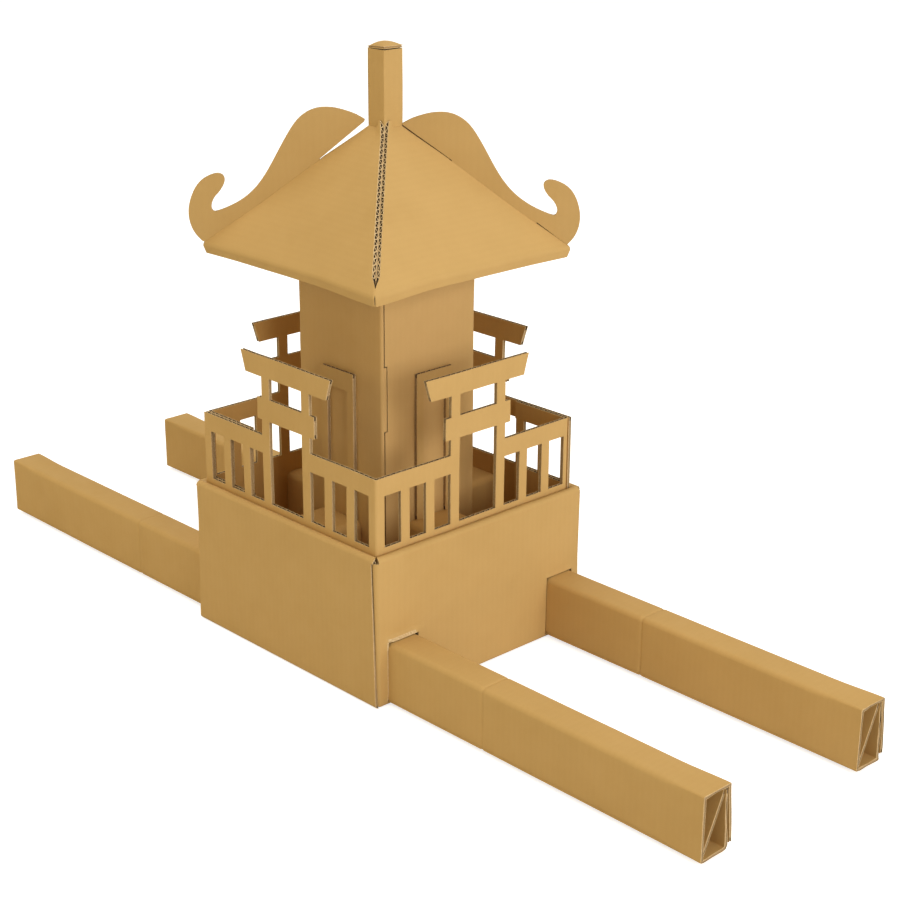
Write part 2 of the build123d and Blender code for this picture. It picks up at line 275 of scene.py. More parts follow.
class Piece:
    """Collects closed shells of board and writes them as one object."""

    def __init__(self, name):
        self.name = name
        self.points, self.faces, self.kinds, self.uvs = [], [], [], []

    def face(self, ids, kind, uvs):
        self.faces.append(ids)
        self.kinds.append(kind)
        self.uvs.extend(uvs)

    def slab(self, us, vs, inside, place, w0, w1, kinds=(FACE, INSIDE, EDGE), uv=None, bare=None):
        """A closed sheet over the cells of a grid, from depth w0 to depth w1.

        kinds: face, back, ends in v, ends in u. bare says which cells of the face are rubbed.
        """
        uv = uv or (lambda u, v: (u, v))
        middles = {
            (i, j): ((us[i] + us[i + 1]) / 2, (vs[j] + vs[j + 1]) / 2)
            for i in range(len(us) - 1) for j in range(len(vs) - 1)
        }
        solid = {cell: middle for cell, middle in middles.items() if inside(*middle)}
        ids = {}

        def vertex(i, j, level):
            key = (i, j, level)
            if key not in ids:
                ids[key] = len(self.points)
                self.points.append(place(us[i], vs[j], w1 if level else w0))
            return ids[key]

        def texture(i, j):
            a, b = uv(us[i], vs[j])
            return (a * MM, b * MM)

        for (i, j), middle in solid.items():
            ring = ((i, j), (i + 1, j), (i + 1, j + 1), (i, j + 1))
            front = EDGE if bare and bare(*middle) else kinds[0]
            self.face([vertex(*k, 0) for k in ring], front, [texture(*k) for k in ring])
            back = ring[::-1]
            self.face([vertex(*k, 1) for k in back], kinds[1], [texture(*k) for k in back])
            sides = ((i, j - 1), (i + 1, j), (i, j + 1), (i - 1, j))
            side_kinds = (kinds[2], kinds[-1], kinds[2], kinds[-1])
            for a, b, neighbour, side_kind in zip(ring, ring[1:] + ring[:1], sides, side_kinds):
                if neighbour in solid:
                    continue
                ta, tb = sum(texture(*a)), sum(texture(*b))
                self.face(
                    [vertex(*b, 0), vertex(*a, 0), vertex(*a, 1), vertex(*b, 1)],
                    side_kind, [(tb, 0), (ta, 0), (ta, 1), (tb, 1)],
                )

    def strip(self, first, count, turned_over=False):
        """Closes a thin strip whose points come four to a station: outer two, then inner two. All its faces
        but the front edge take painted shade.
        """
        last = first + 4 * (count - 1)
        faces = [([a + p, a + 4 + p, a + 4 + q, a + q], kind) for a in range(first, last, 4)
                 for p, q, kind in ((0, 2, PAINTED_SHADE), (3, 1, PAINTED_SHADE), (1, 0, EDGE), (2, 3, PAINTED_SHADE))]
        faces += [([first + k for k in (0, 1, 3, 2)], CORE), ([last + k for k in (0, 2, 3, 1)], CORE)]
        for ids, kind in faces:
            self.face(ids[::-1] if turned_over else ids, kind, [(0, 0)] * 4)

    def ribbon(self, line, v, side, place):
        """The wavy core seen at an edge cut across the flutes. side is 1 where the board lies below v."""
        first = len(self.points)
        for u in line:
            turn = 2 * math.pi * u / PITCH
            w = BOARD / 2 + (BOARD / 2 - LINER - 0.12) * math.sin(turn)
            t = 0.2 * (1 + 0.9 * abs(math.cos(turn)))
            for d in (0.25, OPEN_DEPTH + 0.6):
                self.points += [place(u, v - side * d, w - t), place(u, v - side * d, w + t)]
        self.strip(first, len(line))

    def board(self, marks_u, marks_v, step_u, step_v, inside, place, bare=None):
        """Corrugated board with its flutes along v: two liners, and a core that stands back from the cuts."""
        us, vs = grid(marks_u, step_u), grid(marks_v, step_v)
        # the liners' inner faces and the core's cut ends take painted shade
        self.slab(us, vs, inside, place, 0, LINER, (FACE, PAINTED_SHADE, EDGE), bare=bare)
        self.slab(us, vs, inside, place, BOARD - LINER, BOARD, (PAINTED_SHADE, INSIDE, EDGE))

        def kept(u, v):
            return us[0] < u < us[-1] and vs[0] < v < vs[-1] and inside(u, v)

        def core_lines(lines, marks, back, step, others, keep):
            """Grid lines of the core, with one on each side of a mark where the board is cut."""
            middles = [(a + b) / 2 for a, b in zip(others, others[1:])]
            cuts = [k for k in marks if any(keep(k - PROBE, m) != keep(k + PROBE, m) for m in middles)]
            wanted = marks + [k + d for k in cuts for d in (-back, back)]
            return grid([k for k in wanted if lines[0] <= k <= lines[-1]], step)

        core_u = core_lines(us, marks_u, CORE_BACK, step_u, vs, kept)
        core_v = core_lines(vs, marks_v, OPEN_DEPTH, step_v, us, lambda v, u: kept(u, v))

        def core_inside(u, v):
            a, b = CORE_BACK * 0.999, OPEN_DEPTH * 0.999
            return all(kept(u + du, v + dv) for du, dv in ((0, 0), (-a, 0), (a, 0), (0, -b), (0, b)))

        self.slab(core_u, core_v, core_inside, place, LINER, BOARD - LINER, (CORE, CORE, PAINTED_SHADE, CORE))
        for v in vs:
            for side in (1, -1):
                runs = []
                for a, b in zip(us, us[1:]):
                    m = (a + b) / 2
                    if kept(m, v - side * 0.2) and not kept(m, v + side * 0.2):
                        if runs and abs(runs[-1][1] - a) < 1e-6:
                            runs[-1][1] = b
                        else:
                            runs.append([a, b])
                for a, b in runs:
                    if b - a < SHORTEST_RIBBON:
                        continue
                    count = max(3, round((b - a) / RIBBON_STEP))
                    line = [a + 0.3 + (b - a - 0.6) * k / count for k in range(count + 1)]
                    self.ribbon(line, v, side, place)

    def plate(self, outline, place, w0, w1, kinds=(FACE, INSIDE, EDGE)):
        """A flat closed plate inside an outline."""
        first, count = len(self.points), len(outline)
        for w in (w0, w1):
            for a, b in outline:
                self.points.append(place(a, b, w))
        triangles = geometry.tessellate_polygon([[Vector((a, b, 0)) for a, b in outline]])
        texture = [(a * MM, b * MM) for a, b in outline]
        for ids in triangles:
            a, b, c = (outline[k] for k in ids)
            area = (b[0] - a[0]) * (c[1] - a[1]) - (c[0] - a[0]) * (b[1] - a[1])
            ids = tuple(ids) if area > 0 else tuple(reversed(ids))
            self.face([first + k for k in ids], kinds[0], [texture[k] for k in ids])
            back = ids[::-1]
            self.face([first + count + k for k in back], kinds[1], [texture[k] for k in back])
        for k in range(count):
            n = (k + 1) % count
            ta, tb = outline[k][0] * MM, outline[n][0] * MM
            self.face(
                [first + n, first + k, first + count + k, first + count + n],
                kinds[2], [(tb, 0), (ta, 0), (ta, 1), (tb, 1)],
            )

    def build(self, node, face_material, inside_material=None):
        mesh = bpy.data.meshes.new(self.name)
        mesh.from_pydata([tuple(c * MM for c in p) for p in self.points], [], self.faces)
        layer = mesh.uv_layers.new(name="board")
        layer.data.foreach_set("uv", [c for pair in self.uvs for c in pair])
        inner = inside_material or face_material
        for material in (face_material, edge_plain, core_open, inner, edge_fluted, core_shade_painted):
            mesh.materials.append(material)
        mesh.polygons.foreach_set("material_index", self.kinds)
        mesh.polygons.foreach_set("use_smooth", [True] * len(self.faces))
        mesh.set_sharp_from_angle(angle=SHARP_ANGLE)
        mesh.validate()
        obj = new_object(self.name, mesh)
        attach(obj, "root")
        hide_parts(node)


def fold(points, radius):
    """A path through points with soft corners: the place at a distance along it and a depth to its left."""
    count = len(points)
    starts, length = [0.0], 0.0
    for a, b in zip(points, points[1:]):
        length += math.dist(a, b)
        starts.append(length)

    def direction(k):
        a, b = points[k], points[k + 1]
        d = math.dist(a, b)
        return ((b[0] - a[0]) / d, (b[1] - a[1]) / d)

    def at(s, w):
        k = next((i for i in range(count - 1) if s <= starts[i + 1]), count - 2)
        d = direction(k)
        t = s - starts[k]
        for near, other, sign in ((starts[k], k - 1, 1), (starts[k + 1], k + 1, -1)):
            if not 0 <= other < count - 1:
                continue
            e = direction(other)
            first, second = (e, d) if sign == 1 else (d, e)
            cross = first[0] * second[1] - first[1] * second[0]
            turn = math.atan2(cross, first[0] * second[0] + first[1] * second[1])
            if abs(turn) < 0.01:
                continue
            gap = abs(s - near)
            spread = math.tan(abs(turn) / 2)
            r = radius / spread
            side = 1 if turn > 0 else -1
            if w * side > r - 0.1:
                # the inner side of a tight fold is a plain corner
                if gap < w * spread:
                    t = w * spread if sign == 1 else starts[k + 1] - starts[k] - w * spread
                continue
            if gap >= radius:
                continue
            corner = points[k if sign == 1 else k + 1]
            cx = corner[0] - first[0] * radius - first[1] * side * r
            cy = corner[1] - first[1] * radius + first[0] * side * r
            angle = turn * (0.5 + 0.5 * sign * gap / radius)
            nx, ny = first[1] * side, -first[0] * side
            rx = nx * math.cos(angle) - ny * math.sin(angle)
            ry = nx * math.sin(angle) + ny * math.cos(angle)
            return (cx + rx * (r - w * side), cy + ry * (r - w * side))
        return (points[k][0] + d[0] * t - d[1] * w, points[k][1] + d[1] * t + d[0] * w)

    at.length = length
    at.starts = starts
    return at


def corner_lines(starts, radius, steps=6):
    """Grid lines round soft corners."""
    return [s + radius * (2 * k / steps - 1) for s in starts for k in range(steps + 1)]


def turned(place, turns):
    """The same piece, turned about the upright axis by quarter turns."""
    c, s = round(math.cos(turns * math.pi / 2)), round(math.sin(turns * math.pi / 2))

    def moved(u, v, w):
        x, y, z = place(u, v, w)
        return (c * x - s * y, s * x + c * y, z)

    return moved


def whole(u, v):
    """A sheet with nothing cut out."""
    return True


def smooth(a, b, x):
    """0 at a, 1 at b, with an easy start and end."""
    t = max(0.0, min(1.0, (x - a) / (b - a)))
    return t * t * (3 - 2 * t)


def bump_at(x, centre, width):
    return math.exp(-((x - centre) / width) ** 2)


# Tray
HALF, TRAY_TOP, RIM_IN, INNER_LOW, RIM_FOLD = 121.0, 133.0, 112.8, 3.4, 3.9
# the corner flap's outer face and its far end; the ends of the rolled rim and of a side wall's outer board
FLAP_FACE, FLAP_END, ROLL_END, WALL_END = 119.8, 115.9, 117.2, 115.1
CORNER_TOP, CORNER_EASE, MITRE_FROM = 129.0, 2.5, 104
POLE_Y, HOLE_HALF, HOLE_TOP = 93.3, 16.0, 58.2
FRAY_UP, FRAY_SIDE, FRAY_END, LIP_HEIGHT = 2.2, 1.1, 2, 4.3
TRAY_STEP, WALL_SLANT, FLOOR_HALF = 8.5, 4.1, 117.0

# the section goes up the outer wall, over the rim and down the inner wall; _s is a distance along it
section = fold([(ROLL_END, 0), (HALF, 0), (HALF, TRAY_TOP), (RIM_IN, TRAY_TOP), (RIM_IN, INNER_LOW)],
               RIM_FOLD)
floor_s, top_s, inner_s = section.starts[1:4]
corner_s = floor_s + CORNER_TOP
hole_low_s, hole_high_s = floor_s + BOARD, floor_s + HOLE_TOP
inner_hole_s = inner_s + TRAY_TOP - HOLE_TOP
section_marks = [0, section.length, corner_s, corner_s + 1, corner_s + CORNER_EASE]
section_marks += [hole_low_s, hole_high_s, inner_hole_s]
section_marks += [hole_high_s + d for d in (0.7, 1.4, FRAY_UP, 3.2, 4.4, 6.0)]
section_marks += corner_lines(section.starts[1:4], 3.75, 8)


def mitred(t, v):
    """The rolled parts of neighbouring walls meet on the diagonal of each corner."""
    if abs(t) < MITRE_FROM or abs(t) > ROLL_END + 0.1 or v < corner_s:
        return t
    limit = max(RIM_IN - 0.3, min(ROLL_END, section(v, 0)[0] - 0.35))
    share = smooth(corner_s, corner_s + CORNER_EASE, v)
    limit = ROLL_END + (limit - ROLL_END) * share
    return math.copysign(
        MITRE_FROM + (abs(t) - MITRE_FROM) * (limit - MITRE_FROM) / (ROLL_END - MITRE_FROM), t)


def rim_wave(t, v, seed):
    """How far the rolled part waves in or out, and up or down."""
    rolled, below = smooth(0, 4, v - top_s), smooth(inner_s + 8, inner_s, v)
    near_top = smooth(top_s - 20, top_s, v)
    return (0.5 * wave(t, 40, 0, 45, seed) * rolled * below,
            0.35 * wave(t, 0, 0, 50, seed + 2) * near_top * smooth(inner_s + 20, inner_s, v))


def end_wall(piece, turns, seed):
    """A wall with pole holes. Its board wraps round both corners as a short flap."""
    plan = fold([(FLAP_END, -FLAP_FACE), (HALF, -FLAP_FACE), (HALF, FLAP_FACE), (FLAP_END, FLAP_FACE)], 3.8)
    middle = plan.length / 2

    def inside(u, v):
        y = u - middle
        if abs(y) > ROLL_END and v > corner_s:
            return False
        if abs(abs(y) - POLE_Y) < HOLE_HALF:
            if hole_low_s < v < hole_high_s or v > inner_hole_s:
                return False
        return True

    def place(u, v, w):
        r, z = section(v, w)
        y = mitred(u - middle, v)
        down = 1 - min(1.0, max(0.0, z) / TRAY_TOP)
        inward, upward = rim_wave(y, v, seed)
        if v < top_s:
            flat = smooth(6, 30, z) * smooth(HALF + 3, HALF - 14, abs(y)) * smooth(TRAY_TOP, TRAY_TOP - 14, z)
            bulge = 0.55 * wave(y, 0, z, 60, seed) * flat
            # the board is pushed out above and beside a hole where the pole went in
            for c, strength in ((-POLE_Y, 3.6), (POLE_Y, 0.7)):
                across = smooth(HOLE_HALF + 4, HOLE_HALF - 2, abs(y - c - 1.2))
                above = max(0.0, 1 - (z - HOLE_TOP) / LIP_HEIGHT) if z >= HOLE_TOP - 0.1 else 0
                bulge += strength * across * above
                left = smooth(5, 0, abs(y - c + HOLE_HALF)) * smooth(HOLE_TOP + 4, HOLE_TOP - 4, z)
                bulge += 0.3 * strength * left * smooth(2, 12, z)
            r += bulge
        r += inward
        z += upward
        beyond = abs(u - middle) - ROLL_END
        if beyond > 0:
            # the corner flap gets shorter towards the floor
            u -= math.copysign(beyond * 0.42 * down, u - middle)
        elif v >= corner_s:
            u = middle + y
        x, yy = plan(u, HALF - r)
        yy *= 1 - 0.0115 * down * smooth(100, 116, abs(yy))
        return (x, yy, z)

    def frayed(u, v):
        """The rubbed edge of the hole where the near pole was pushed in."""
        y = u - middle + POLE_Y
        above = hole_high_s < v < hole_high_s + FRAY_UP and -HOLE_HALF < y < HOLE_HALF - FRAY_END
        return above or (hole_low_s < v < hole_high_s and -HOLE_HALF - FRAY_SIDE < y < -HOLE_HALF)

    marks = [0, plan.length] + corner_lines(plan.starts[1:3], 3.7, 8)
    near_hole = [-HOLE_HALF - d for d in (5, 2.5, FRAY_SIDE, 0)] + [HOLE_HALF + d for d in (-FRAY_END, 0, 3)]
    marks += [middle + c + d for c in (-POLE_Y, POLE_Y) for d in near_hole]
    marks += [middle + s * m for s in (-1, 1) for m in (ROLL_END, MITRE_FROM)]
    piece.board(marks, section_marks, TRAY_STEP, TRAY_STEP, inside, turned(place, turns), frayed)


def side_wall(piece, turns, seed):
    """A wall that closes over the corner flaps, with its cut ends showing."""

    def inside(u, v):
        return abs(u) < WALL_END or v > corner_s

    def place(u, v, w):
        r, z = section(v, w)
        u = mitred(u, v)
        if v < top_s:
            flat = smooth(6, 30, z) * smooth(TRAY_TOP, TRAY_TOP - 14, z)
            r += 0.6 * wave(u, 0, z, 60, seed) * flat * smooth(WALL_END, WALL_END - 12, abs(u))
            # the cut ends run out over the flap towards the floor
            down = 1 - min(1.0, max(0.0, z) / TRAY_TOP)
            u += math.copysign(WALL_SLANT * down * smooth(90, WALL_END, abs(u)), u)
        inward, upward = rim_wave(u, v, seed)
        return (r + inward, u, z + upward)

    marks = [s * m for s in (-1, 1) for m in (ROLL_END, WALL_END, WALL_END - 4, MITRE_FROM)]
    piece.board(marks, section_marks, TRAY_STEP, TRAY_STEP, inside, turned(place, turns))


tray_kraft = kraft("tray_kraft", tinted(1.0, 1.0, 1.0), 0.6, 1.0)
tray = Piece("tray_sheet")
end_wall(tray, 0, 2.1)
end_wall(tray, 2, 8.4)
side_wall(tray, 1, 5.7)
side_wall(tray, 3, 3.3)
tray.board([-FLOOR_HALF, FLOOR_HALF], [-FLOOR_HALF, FLOOR_HALF], 30, 30,
           whole, lambda u, v, w: (-u, v, w))
tray.build("base_box", tray_kraft)


# Poles
POLE_END, POLE_W, POLE_H, CREASE = 450.0, 15.3, 54.2, 230.0
# the open side has two layers, and the inner one and the web go on from the bottom
INNER_FACE, INNER_TOP, OUTER_LOW = 11.6, 50.6, 4.6
WEB_WIDTH, WEB_HEIGHT, WEB_GAP = 21.0, 47.4, 0.6
TWIST_HEIGHT = 20
POLE_CORNERS = [(POLE_W, OUTER_LOW), (POLE_W, POLE_H), (-POLE_W, POLE_H), (-POLE_W, 0),
                (INNER_FACE, 0), (INNER_FACE, INNER_TOP)]
pole_soft, pole_crisp = fold(POLE_CORNERS, 4.6), fold(POLE_CORNERS, 1.5)


def pole(name, node, centre_y, seed, turn):
    """One strip folded round a diagonal web. turn is how many degrees its ends twist."""
    piece = Piece(name)
    outer_end, top_end, floor_start = pole_soft.starts[1:4]

    def place(u, v, w):
        dent = 0.6 * (bump_at(u, CREASE, 1.2) + bump_at(u, -CREASE, 1.2)) * smooth(BOARD, 0, w * 0.5)
        end = smooth(395, POLE_END, abs(u))
        if w > 0:
            # the knife crushed the board, most of all on the top
            crush = 0.42 * smooth(outer_end + 2, outer_end + 8, v) * smooth(top_end - 2, top_end - 8, v)
            crush = max(crush, 0.16)
            w *= 1 - crush * end
        soft, crisp = pole_soft(v, w + dent), pole_crisp(v, w + dent)
        share = smooth(405, 449, abs(u)) if v < floor_start else 0.8
        a = soft[0] + (crisp[0] - soft[0]) * share
        b = soft[1] + (crisp[1] - soft[1]) * share
        # the two layers on the open side stand apart towards the ends
        spread = smooth(250, POLE_END, abs(u))
        if v < outer_end:
            a += 3.6 * spread * smooth(POLE_H, 4, b)
        elif v > floor_start:
            a += 2.3 * spread * smooth(-POLE_W, 11, a) * smooth(POLE_H, 0, b)
        a += 0.2 * wave(u, a, b, 70, seed)
        twist = math.radians(turn) * smooth(CREASE, POLE_END, abs(u)) * math.copysign(1, u)
        c, s = math.cos(twist), math.sin(twist)
        b -= TWIST_HEIGHT
        a, b = a * c - b * s, a * s + b * c + TWIST_HEIGHT
        ragged = 0.7 * wave(0, a, b, 5, seed) * smooth(446, 450, abs(u)) * (1.6 if v > floor_start else 0.5)
        slack = 0.25 * wave(u, 0, 0, 120, seed + 4)
        return (-u - math.copysign(ragged - 0.4, u), centre_y + a + slack, max(0.0, b) + BOARD)

    marks = [s * CREASE + d for s in (-1, 1) for d in (-3, -2, -1.3, -0.6, 0, 0.6, 1.3, 2, 3)]
    marks += [s * d for s in (-1, 1) for d in (405, 415, 425, 434, 440, POLE_END - 8, 445, 448.5, POLE_END)]
    lines = [0, pole_soft.length] + corner_lines(pole_soft.starts[1:5], 4.5, 10)
    lines += corner_lines(pole_soft.starts[1:5], 1.4, 4)
    piece.board(marks, lines, 16, 9, whole, place)
    web_half = math.hypot(WEB_WIDTH, WEB_HEIGHT) / 2 - WEB_GAP
    angle = math.atan2(WEB_HEIGHT, WEB_WIDTH)

    def web_place(u, v, w):
        t = v + 0.4 * wave(u, v, 0, 30, seed)
        across = (w - BOARD / 2) * 0.86 + 0.8 * math.sin(v / web_half * 1.4) * wave(u, 0, 0, 200, seed)
        a = -BOARD / 2 + math.cos(angle) * t + math.sin(angle) * across
        b = POLE_H / 2 + math.sin(angle) * t - math.cos(angle) * across
        return (u * 0.9985, centre_y + a, b + BOARD)

    piece.board([-POLE_END, POLE_END], [-web_half, web_half], 30, 13, whole, web_place)
    piece.build(node, pole_kraft)


pole_kraft = kraft("pole_kraft", tinted(1.0, 0.99, 0.97), 0.5, 2.2)
pole("pole_near_strip", "pole_near", -POLE_Y, 1.7, 0.0)
pole("pole_far_strip", "pole_far", POLE_Y, 6.2, 0.4)


# Railing
RAIL_HALF, RAIL_TOP, SILL, RAIL_LOW, SKIRT = 112.6, 197.0, 137.0, 181.3, 60.6
POST_OUT, POST_IN, WINDOW, BALUSTER = 31.0, 21.3, 18.1, 9.2
# the gate's beam is wider at its top, and the tie runs between the posts below it
GATE_TOP, BEAM_LOW, BEAM_UP, BEAM_DOWN = 266.5, 248.5, 58.3, 52.5
TIE_TOP, TIE_LOW, TIE_HALF, FLAP_START = 230.0, 211.0, 37.0, 51.0
windows = [POST_OUT + k * (WINDOW + BALUSTER) for k in range(3)]


def panel_inside(a, v, gate=True):
    """Whether board is left at a place of one railing side, measured from its middle."""
    a = abs(a)
    if v < SILL:
        return True
    if gate:
        if v > BEAM_LOW:
            return a < BEAM_UP
        if POST_IN < a < POST_OUT:
            return True
        if TIE_LOW < v < TIE_TOP:
            return a < TIE_HALF
        if a < POST_IN:
            return False
    if v > RAIL_TOP:
        return False
    if v > RAIL_LOW:
        return True
    return not any(w < a < w + WINDOW for w in windows)


def railing(name, node, turns, seed):
    """Two sides of the railing in one sheet, with a flap glued behind the next sheet."""
    piece = Piece(name)
    inner = RAIL_HALF - BOARD
    corners = [(-RAIL_HALF, -RAIL_HALF), (RAIL_HALF, -RAIL_HALF), (RAIL_HALF, inner), (FLAP_START, inner)]
    path = fold(corners, 2.4)
    side = 2 * RAIL_HALF
    middles = (RAIL_HALF, side + RAIL_HALF)
    flap_from = path.starts[2]

    def inside(u, v):
        if u < side:
            return panel_inside(u - middles[0], v)
        if u < flap_from:
            return panel_inside(u - middles[1], v)
        return v < RAIL_TOP and panel_inside(inner - (u - flap_from), v, False)

    def place(u, v, w):
        if v >= BEAM_LOW - 0.01:
            for m in middles:
                over = abs(u - m) - BEAM_DOWN
                if 0 < over <= BEAM_UP - BEAM_DOWN + 0.01:
                    lean = over * max(0.04, (v - BEAM_LOW) / (GATE_TOP - BEAM_LOW))
                    u = m + math.copysign(BEAM_DOWN + lean, u - m)
                    break
        x, y = path(u, w)
        free = smooth(SILL, RAIL_TOP, v)
        bow = 0.9 * wave(x, y, v, 80, seed) * free
        for m in middles:
            a = u - m
            if v > TIE_LOW and abs(a) < BEAM_UP + 1:
                bow += 0.9 * wave(a, m, v, 60, seed + 1) * smooth(TIE_LOW, GATE_TOP, v)
                bow += 1.1 * smooth(POST_OUT, BEAM_UP, abs(a)) * wave(a, 0, 0, 25, seed + 6)
        if u < side - 4:
            y -= bow * smooth(-4, -24, u - side)
        elif side + 4 < u < flap_from - 4:
            x += bow * smooth(4, 24, u - side)
        return (x, y, v)

    marks_u = [0, path.length, path.length - 3]
    for m in middles:
        for sign in (-1, 1):
            for w in windows:
                marks_u += [m + sign * w, m + sign * (w + WINDOW)]
            marks_u += [m + sign * c for c in (POST_IN, POST_OUT, BEAM_DOWN, BEAM_UP, TIE_HALF)]
    marks_u += [flap_from + inner - edge for w in windows for edge in (w, w + WINDOW)]
    marks_u = [m for m in marks_u if 0 <= m <= path.length] + corner_lines(path.starts[1:3], 2.3)
    marks_v = [SKIRT, SILL, RAIL_LOW, RAIL_TOP, TIE_LOW, TIE_TOP, BEAM_LOW, GATE_TOP]
    piece.board(marks_u, marks_v, 9, 9, inside, turned(place, turns))
    piece.build(node, rail_kraft, rail_inner_shaded)


rail_kraft = kraft("railing_kraft", tinted(1.02, 1.02, 1.03), 0.45, 3.1)
# a darker, warmer copy of the railing kraft for the inner faces and the roof's underside: painted shade
rail_inner_shaded = kraft("railing_kraft_inner_shaded", tinted(0.9, 0.82, 0.7), 0.5, 4.4)
railing("railing_front_sheet", "railing_front", 0, 1.3)
railing("railing_back_sheet", "railing_back", 2, 5.9)


# Walkways and door frames
TOWER, WALK_TOP, WALK_HALF, WALK_START, WALK_END = 53.2, 119.5, 25.4, 53.5, 109.1
DOOR_HALF, JAMB, DOOR_TOP, HEADER, EAST_SHIFT = 20.5, 7.5, 250.0, 16.0, 3.7
walk_path = fold([(WALK_HALF, SKIRT), (WALK_HALF, WALK_TOP), (-WALK_HALF, WALK_TOP), (-WALK_HALF, SKIRT)],
                 6.0)
walk_kraft = kraft("walkway_kraft", tinted(1.0, 0.95, 0.86), 0.5, 5.1)
door_kraft = kraft("door_kraft", tinted(0.97, 0.96, 0.95), 0.6, 6.3)

for turns, side_name in enumerate(("east", "north", "west", "south")):
    walk = Piece(f"walkway_{side_name}_fold")

    def walk_place(u, v, w, seed=turns):
        x = WALK_START + WALK_END - u
        a, z = walk_path(v, w)
        soft_top = 0.5 * wave(x, a, 0, 25, seed) * smooth(WALK_TOP - 20, WALK_TOP, z)
        return (x, a, z - 0.3 + soft_top * 0.5)

    walk_lines = [0, walk_path.length] + corner_lines(walk_path.starts[1:3], 5.9, 10)
    walk.board([WALK_START, WALK_END], walk_lines, 9, 9, whole, turned(walk_place, turns))
    walk.build(f"walkway_{side_name}", walk_kraft)

    shift = EAST_SHIFT if side_name == "east" else 0
    door = Piece(f"door_{side_name}_frame")

    def door_inside(u, v, shift=shift):
        return abs(u - shift) > DOOR_HALF - JAMB or v > DOOR_TOP - HEADER

    def door_place(u, v, w, seed=turns):
        lift = 0.35 * (1 + wave(u, 0, v, 30, seed)) * smooth(WALK_TOP, WALK_TOP + 30, v)
        return (TOWER + BOARD - w + lift * smooth(BOARD, 0, w) * 0.4, u, v)

    door_u = [shift + d for d in (-DOOR_HALF, JAMB - DOOR_HALF, DOOR_HALF - JAMB, DOOR_HALF)]
    door.board(door_u, [WALK_TOP, DOOR_TOP - HEADER, DOOR_TOP], 8, 12, door_inside, turned(door_place, turns))
    door.build(f"door_frame_{side_name}", door_kraft)


# Tower
TOWER_TOP, TAB_LOW, TAB_HIGH, TAB_EASE = 400.4, 206.0, 263.0, 0.7
# the seam beside the front corner, and its step, where one end of the sheet has a tab and the other a notch
SEAM, TAB_END_Y, SEAM_GAP = -49.6, -46.9, 1.2
tower_path = fold([(TOWER, SEAM), (TOWER, TOWER), (-TOWER, TOWER), (-TOWER, -TOWER), (TOWER, -TOWER),
                   (TOWER, TAB_END_Y - SEAM_GAP)], 2.2)
tower_kraft = kraft("tower_kraft", tinted(0.99, 0.98, 1.03), 0.45, 9.0)
tower = Piece("tower_sheet")
tower_last = tower_path.starts[5]
notch = TAB_END_Y - SEAM
tab_cut = tower_last - notch


def tower_inside(u, v):
    if TAB_LOW < v < TAB_HIGH and u < 5:
        return u > notch
    return u < tab_cut or TAB_LOW + TAB_EASE < v < TAB_HIGH - TAB_EASE


def tower_place(u, v, w):
    x, y = tower_path(u, w)
    ends = min(smooth(8, 30, u), smooth(tower_path.length - 8, tower_path.length - 30, u))
    free = smooth(SKIRT, SKIRT + 40, v)
    bow = -0.7 * abs(wave(x, y, v, 70, 3)) * free * smooth(TOWER_TOP, TOWER_TOP - 30, v)
    near_seam = smooth(tower_path.starts[4], tower_last, u)
    x += 0.35 * near_seam + 0.35 * wave(0, 0, v, 22, 5) * near_seam
    scale = 1 + bow / TOWER * ends
    return (x * scale, y * scale, v)


tower_lines = [0, notch, tab_cut, tower_path.length] + corner_lines(tower_path.starts[1:5], 2.1)
tower_levels = [SKIRT, TAB_LOW, TAB_LOW + TAB_EASE, TAB_HIGH - TAB_EASE, TAB_HIGH, TOWER_TOP]
tower.board(tower_lines, tower_levels, 9, 14, tower_inside, tower_place)
tower.build("tower", tower_kraft)


# Roof
EAVE, EAVE_Z, LIP, LIP_Z, APEX = 108.4, 347.0, 106.2, 339.0, 461.0
SLOPE = (APEX - EAVE_Z) / EAVE
HATCH, HIP, TOP_SAG = 10.5, 2.6, 2.2
# the open ridge: how far the faces are cut back, the slant of the cut, and the slit left at the lip
CUT_BACK, BEVEL, SLIT = 4.4, 0.6, 0.5
SLOT_NEAR, SLOT_FAR = 54 / math.sqrt(2), 126 / math.sqrt(2)
# a side's grid columns: at these distances from its edges, and evenly between
NEAR, MIDDLE = (0, 0.7, 1.5, 2.47, 3.8, 6.0), 12
BAND = len(NEAR) - 1
per_side = 2 * BAND + MIDDLE
profile = fold([(LIP, LIP_Z), (EAVE, EAVE_Z), (HATCH, APEX - SLOPE * HATCH)], 2.9)


def from_edge(columns, h):
    """Distance of a column near an edge of a side. The band of columns narrows towards the top."""
    k = int(columns)
    offset = NEAR[k] + (NEAR[min(BAND, k + 1)] - NEAR[k]) * (columns - k)
    return offset * min(1, (h - 3.3) / 6.5)


def along(column, h, cut):
    """Side number and distance from the side's middle of a column at a level."""
    side = min(3, int(column // per_side))
    j = column - side * per_side
    first = cut if side == 0 else 0
    last = cut if side == 3 else 0
    if j <= BAND:
        return side, -h + first + from_edge(j, h)
    if j >= BAND + MIDDLE:
        return side, h - last - from_edge(per_side - j, h)
    tight = from_edge(BAND, h)
    low, high = -h + first + tight, h - last - tight
    return side, low + (high - low) * (j - BAND) / MIDDLE


